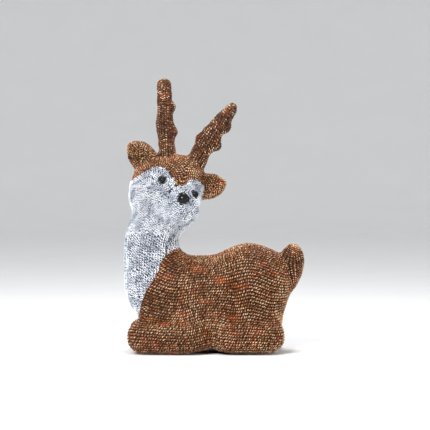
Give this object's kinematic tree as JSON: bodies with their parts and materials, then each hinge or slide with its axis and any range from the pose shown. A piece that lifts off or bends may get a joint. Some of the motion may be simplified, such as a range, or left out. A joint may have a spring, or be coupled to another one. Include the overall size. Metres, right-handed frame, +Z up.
{
  "type": "light up yard reindeer",
  "caption": "Lying reindeer of spun brown and white acrylic thread over a wire frame, lit from inside by a string of LEDs, with a battery door and a slide switch.",
  "frame": {"origin": "middle of the footprint, on the ground under the sole", "axes": "+Z up; the body lies along X, with the chest towards -X and the tail towards +X; the face looks towards -Y"},
  "size_m": [0.3158, 0.1666, 0.4779],
  "materials": {
    "brown_acrylic": "translucent brown acrylic thread, glossy, warm light through it",
    "white_acrylic": "clear and white acrylic thread, glossy, cool white light through it",
    "black_trim": "polished black",
    "washer_steel": "zinc plated",
    "frame_wire": "brown coated steel wire",
    "led_wire": "thin clear-brown insulation",
    "led_lens": "clear epoxy lens, lit",
    "case_plastic": "fine grained moulded plastic",
    "seal_rubber": "soft matt",
    "battery_wrap": "printed shrink wrap, plain",
    "contact_metal": "nickel plated",
    "board": "green solder mask",
    "switch_metal": "tinned steel can"
  },
  "bodies": {
    "body": {"body_shell_left": "brown_acrylic", "body_shell_right": "brown_acrylic", "crown_shell": "brown_acrylic", "ear_left": "brown_acrylic", "ear_right": "brown_acrylic", "antler_left": "brown_acrylic", "antler_right": "brown_acrylic", "tail": "brown_acrylic", "face_shell": "white_acrylic", "throat_bib": "white_acrylic", "eye_left": "black_trim", "eye_right": "black_trim", "nose": "black_trim", "eye_washer_left": "washer_steel", "eye_washer_right": "washer_steel", "nose_washer": "washer_steel", "cover_screw_1": "washer_steel", "cover_screw_2": "washer_steel", "cover_screw_3": "washer_steel", "cover_screw_4": "washer_steel", "hinge_pin": "washer_steel", "base_ring": "frame_wire", "chest_hoop": "frame_wire", "rump_hoop": "frame_wire", "neck_hoop": "frame_wire", "spine_wire": "frame_wire", "led_cable": "led_wire", "led_lamp_01": "led_lens", "led_lamp_02": "led_lens", "led_lamp_03": "led_lens", "led_lamp_04": "led_lens", "led_lamp_05": "led_lens", "led_lamp_06": "led_lens", "led_lamp_07": "led_lens", "led_lamp_08": "led_lens", "led_lamp_09": "led_lens", "led_lamp_10": "led_lens", "led_lamp_11": "led_lens", "led_lamp_12": "led_lens", "led_lamp_13": "led_lens", "led_lamp_14": "led_lens", "led_lamp_15": "led_lens", "led_lamp_16": "led_lens", "battery_case": "case_plastic", "circuit_cover": "case_plastic", "door_gasket": "seal_rubber", "cable_grommet": "seal_rubber", "battery_cell_1": "battery_wrap", "battery_cell_2": "battery_wrap", "battery_cell_3": "battery_wrap", "contact_plate_front": "contact_metal", "contact_plate_rear": "contact_metal", "contact_spring_1": "contact_metal", "contact_spring_2": "contact_metal", "contact_spring_3": "contact_metal", "circuit_board": "board", "switch_body": "switch_metal"},
    "door": {"battery_door": "case_plastic"},
    "switch": {"switch_slider": "black_trim"}
  },
  "joints": [
    {"name": "battery_door_hinge", "type": "hinge", "parent": "body", "child": "door", "pos_m": [-0.00581, 0.06707, 0.11635], "axis": [1, 0, 0], "range_deg": [0, 110]},
    {"name": "switch_slide", "type": "slide", "parent": "body", "child": "switch", "axis": [0, 0, -1], "range_m": [0, 0.006]}
  ]
}
